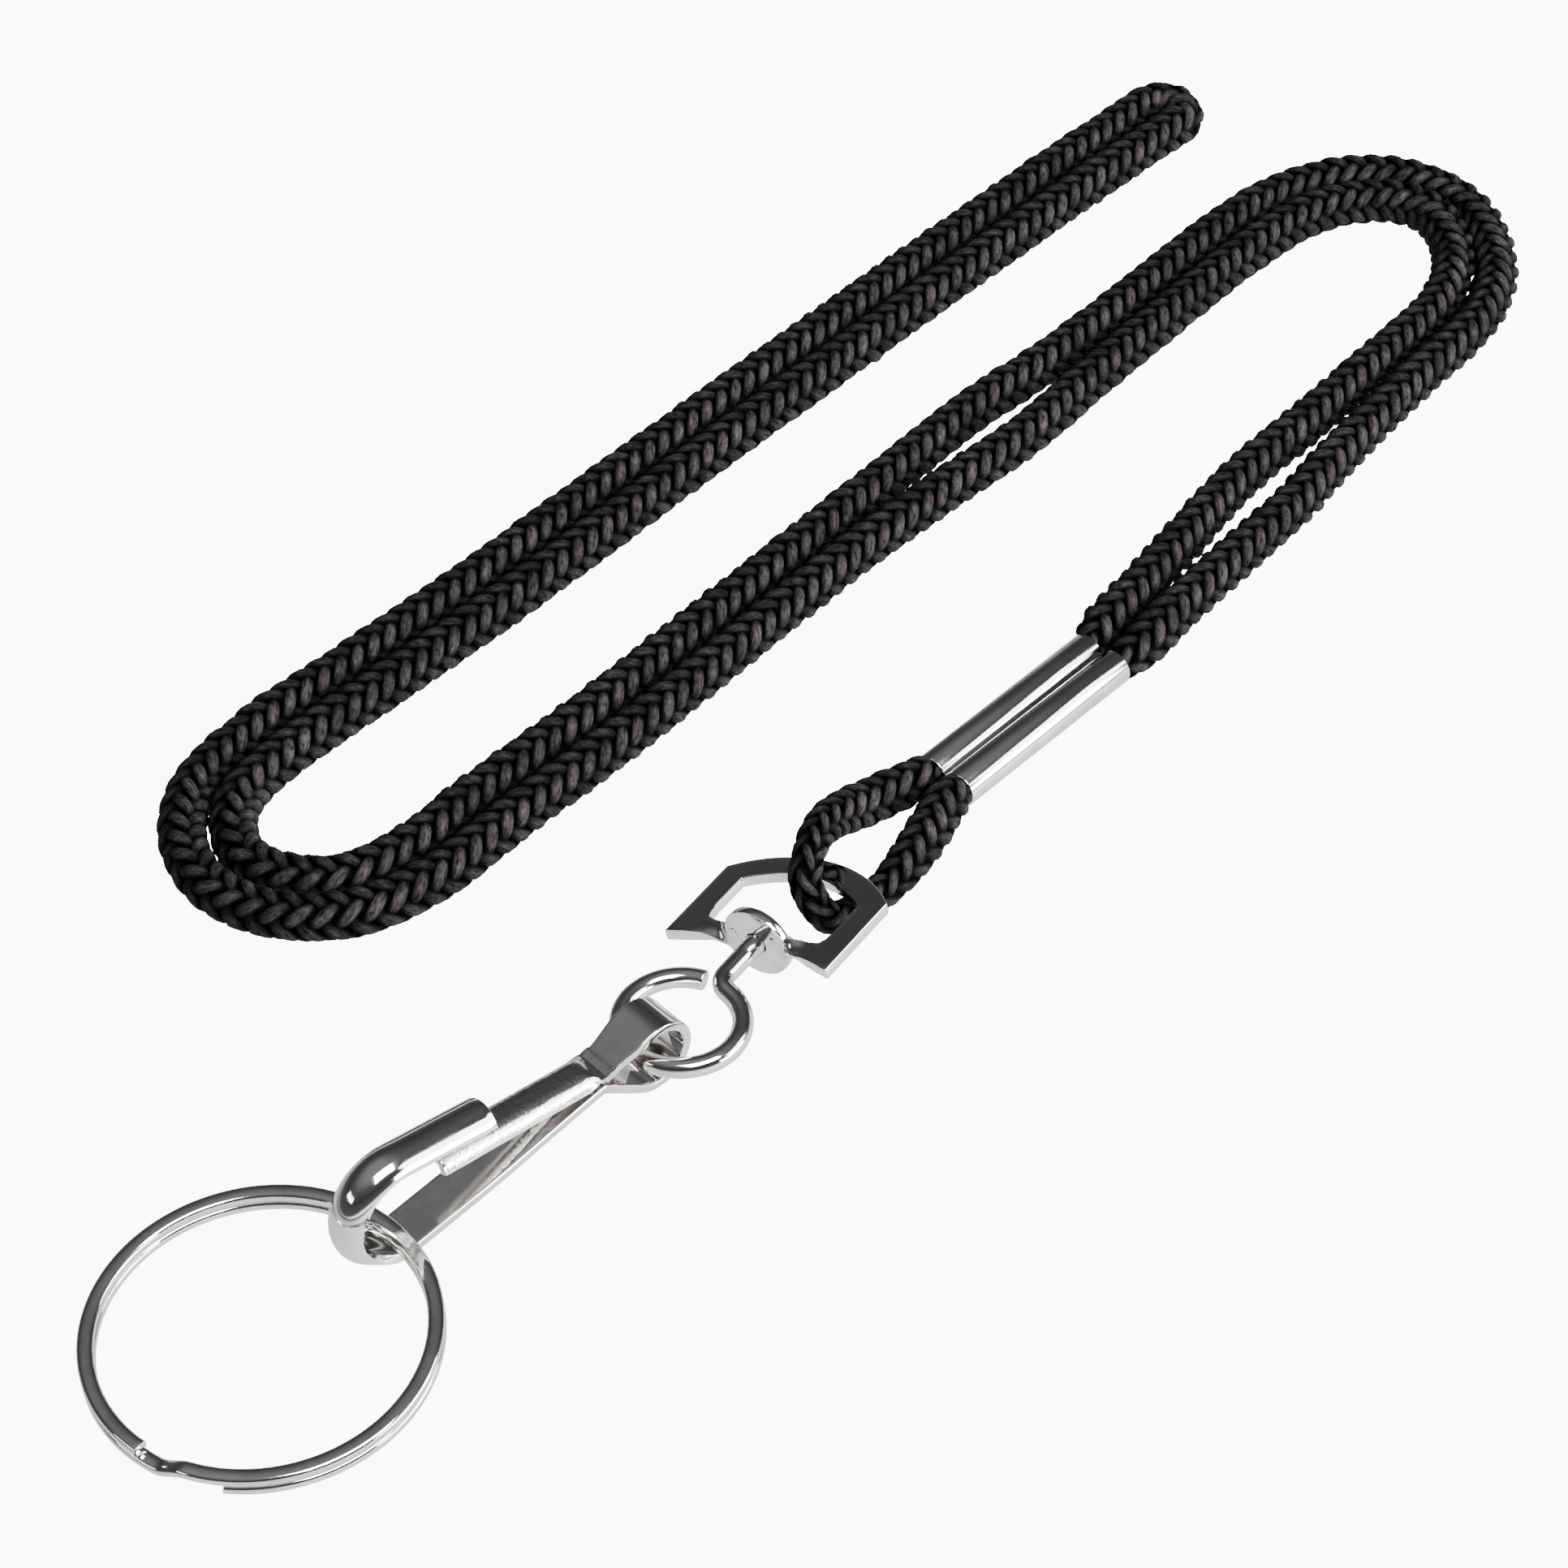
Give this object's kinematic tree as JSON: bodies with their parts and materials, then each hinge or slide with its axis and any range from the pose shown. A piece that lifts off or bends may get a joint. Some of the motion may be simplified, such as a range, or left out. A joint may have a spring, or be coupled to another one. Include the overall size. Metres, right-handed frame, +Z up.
{
  "type": "key lanyard",
  "caption": "Doubled braided neck cord crimped in a double-barrel ferrule, with a swivel yoke, wire eye, sprung strip hook and split key ring, lying flat.",
  "frame": {"origin": "middle of the ferrule's flat underside, on the surface that the lanyard lies on", "axes": "+X along the ferrule towards the neck cord, +Z up, away from the surface"},
  "size_m": [0.1858, 0.064, 0.0101],
  "materials": {
    "ferrule_nickel": "bright nickel plate",
    "black_braid": "braided polyester yarn",
    "yoke_nickel": "bright nickel plate",
    "wire_nickel": "bright nickel plate",
    "hook_nickel": "bright nickel plate",
    "ring_nickel": "bright nickel plate"
  },
  "bodies": {
    "cord_end": {"ferrule": "ferrule_nickel", "neck_cord": "black_braid", "loop_cord": "black_braid"},
    "yoke": {"yoke": "yoke_nickel"},
    "eye": {"swivel_eye": "wire_nickel"},
    "hook": {"hook_body": "hook_nickel"},
    "gate": {"spring_gate": "hook_nickel"},
    "ring": {"split_ring": "ring_nickel"}
  },
  "joints": [
    {"name": "yoke_swing", "type": "hinge", "parent": "cord_end", "child": "yoke", "pos_m": [-0.02609, -0.00065, 0.0031], "axis": [-0.1388, 0.9512, -0.2756], "range_deg": [-15, 25]},
    {"name": "eye_swivel", "type": "hinge", "parent": "yoke", "child": "eye", "pos_m": [-0.035, -0.00195, 0.0031], "axis": [0.9895, 0.1444, 0], "continuous": true},
    {"name": "hook_swing", "type": "hinge", "parent": "eye", "child": "hook", "pos_m": [-0.05031, -0.00301, 0.0031], "axis": [0.0811, 0.9967, 0], "range_deg": [-30, 40]},
    {"name": "gate_flex", "type": "hinge", "parent": "hook", "child": "gate", "pos_m": [-0.0536, -0.00274, 0.00452], "axis": [-0.0811, -0.9967, 0], "range_deg": [0, 10], "stiffness_Nm_per_rad": 0.01, "springref_deg": -2.86},
    {"name": "ring_swing", "type": "hinge", "parent": "hook", "child": "ring", "pos_m": [-0.07523, -0.00098, 0.0025], "axis": [-0.0262, 0.9997, 0], "range_deg": [-30, 100]}
  ]
}
